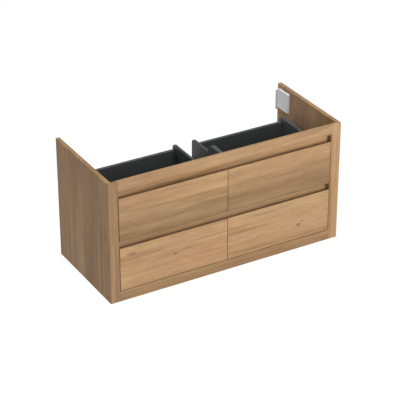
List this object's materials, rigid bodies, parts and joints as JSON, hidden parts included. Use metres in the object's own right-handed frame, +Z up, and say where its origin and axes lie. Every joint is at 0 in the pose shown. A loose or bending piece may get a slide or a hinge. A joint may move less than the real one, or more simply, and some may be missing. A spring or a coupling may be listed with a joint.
{
  "type": "wall-hung vanity cabinet",
  "caption": "Wall-hung oak vanity cabinet with a bevelled front frame, finger-gap drawer fronts, dark drawer boxes on runners and adjustable rear hangers.",
  "frame": {"origin": "middle of the bounding box's bottom face", "axes": "+X across the width, +Z up, the drawer fronts face -Y"},
  "size_m": [1.2, 0.518, 0.6],
  "materials": {
    "oak": "matt lacquer",
    "anthracite_board": "fine textured matt foil",
    "spacer_board": "raw plywood",
    "beech_dowel": "raw",
    "zinc_steel": "bright zinc",
    "screw_steel": "zinc",
    "cover_plastic": "satin light grey"
  },
  "bodies": {
    "root": {"side_panel_left": "oak", "stile_left": "oak", "hanger_housing_left": "cover_plastic", "hanger_cover_left": "cover_plastic", "side_panel_right": "oak", "stile_right": "oak", "hanger_housing_right": "cover_plastic", "hanger_cover_right": "cover_plastic", "top_rail": "oak", "bottom_rail": "oak", "corner_posts": "oak", "upper_grip_strip": "oak", "middle_grip_strip": "oak", "top_cleat": "oak", "bottom_panel": "oak", "back_rail_upper": "oak", "back_rail_lower": "oak", "centre_partition": "anthracite_board", "runner_spacers_outer": "spacer_board", "runner_spacers_inner": "spacer_board", "runner_rails": "zinc_steel", "runner_screws": "screw_steel", "hanger_fixing_screws": "screw_steel", "frame_dowels": "beech_dowel"},
    "hook_left": {"hanger_hook_left": "zinc_steel"},
    "height_screw_left": {"hanger_height_screw_left": "screw_steel"},
    "hook_right": {"hanger_hook_right": "zinc_steel"},
    "height_screw_right": {"hanger_height_screw_right": "screw_steel"},
    "drawer_upper_left": {"front_upper_left": "oak", "side_left_upper_left": "anthracite_board", "side_right_upper_left": "anthracite_board", "back_upper_left": "anthracite_board", "bottom_upper_left": "anthracite_board", "runner_slide_upper_left": "zinc_steel", "slide_screws_upper_left": "screw_steel"},
    "runner_mid_upper_left": {"runner_mid_upper_left": "zinc_steel"},
    "drawer_upper_right": {"front_upper_right": "oak", "side_left_upper_right": "anthracite_board", "side_right_upper_right": "anthracite_board", "back_upper_right": "anthracite_board", "bottom_upper_right": "anthracite_board", "runner_slide_upper_right": "zinc_steel", "slide_screws_upper_right": "screw_steel"},
    "runner_mid_upper_right": {"runner_mid_upper_right": "zinc_steel"},
    "drawer_lower_left": {"front_lower_left": "oak", "side_left_lower_left": "anthracite_board", "side_right_lower_left": "anthracite_board", "back_lower_left": "anthracite_board", "bottom_lower_left": "anthracite_board", "runner_slide_lower_left": "zinc_steel", "slide_screws_lower_left": "screw_steel"},
    "runner_mid_lower_left": {"runner_mid_lower_left": "zinc_steel"},
    "drawer_lower_right": {"front_lower_right": "oak", "side_left_lower_right": "anthracite_board", "side_right_lower_right": "anthracite_board", "back_lower_right": "anthracite_board", "bottom_lower_right": "anthracite_board", "runner_slide_lower_right": "zinc_steel", "slide_screws_lower_right": "screw_steel"},
    "runner_mid_lower_right": {"runner_mid_lower_right": "zinc_steel"}
  },
  "joints": [
    {"name": "drawer_slide_upper_left", "type": "slide", "parent": "root", "child": "drawer_upper_left", "axis": [0, -1, 0], "range_m": [0, 0.32]},
    {"name": "runner_mid_slide_upper_left", "type": "slide", "parent": "root", "child": "runner_mid_upper_left", "axis": [0, -1, 0], "range_m": [0, 0.16]},
    {"name": "drawer_slide_upper_right", "type": "slide", "parent": "root", "child": "drawer_upper_right", "axis": [0, -1, 0], "range_m": [0, 0.32]},
    {"name": "runner_mid_slide_upper_right", "type": "slide", "parent": "root", "child": "runner_mid_upper_right", "axis": [0, -1, 0], "range_m": [0, 0.16]},
    {"name": "drawer_slide_lower_left", "type": "slide", "parent": "root", "child": "drawer_lower_left", "axis": [0, -1, 0], "range_m": [0, 0.32]},
    {"name": "runner_mid_slide_lower_left", "type": "slide", "parent": "root", "child": "runner_mid_lower_left", "axis": [0, -1, 0], "range_m": [0, 0.16]},
    {"name": "drawer_slide_lower_right", "type": "slide", "parent": "root", "child": "drawer_lower_right", "axis": [0, -1, 0], "range_m": [0, 0.32]},
    {"name": "runner_mid_slide_lower_right", "type": "slide", "parent": "root", "child": "runner_mid_lower_right", "axis": [0, -1, 0], "range_m": [0, 0.16]},
    {"name": "hook_height_left", "type": "slide", "parent": "root", "child": "hook_left", "axis": [0, 0, 1], "range_m": [-0.005, 0.005]},
    {"name": "height_screw_turn_left", "type": "hinge", "parent": "root", "child": "height_screw_left", "pos_m": [-0.57425, 0.171, 0.533], "axis": [0, 0, 1], "range_deg": [-720, 720]},
    {"name": "hook_height_right", "type": "slide", "parent": "root", "child": "hook_right", "axis": [0, 0, 1], "range_m": [-0.005, 0.005]},
    {"name": "height_screw_turn_right", "type": "hinge", "parent": "root", "child": "height_screw_right", "pos_m": [0.57425, 0.171, 0.533], "axis": [0, 0, 1], "range_deg": [-720, 720]}
  ],
  "couplings": [
    {"joint": "runner_mid_slide_upper_left", "follows": "drawer_slide_upper_left", "ratio": 0.5},
    {"joint": "runner_mid_slide_upper_right", "follows": "drawer_slide_upper_right", "ratio": 0.5},
    {"joint": "runner_mid_slide_lower_left", "follows": "drawer_slide_lower_left", "ratio": 0.5},
    {"joint": "runner_mid_slide_lower_right", "follows": "drawer_slide_lower_right", "ratio": 0.5},
    {"joint": "height_screw_turn_left", "follows": "hook_height_left", "rad_per_m": 2513.3},
    {"joint": "height_screw_turn_right", "follows": "hook_height_right", "rad_per_m": 2513.3}
  ]
}
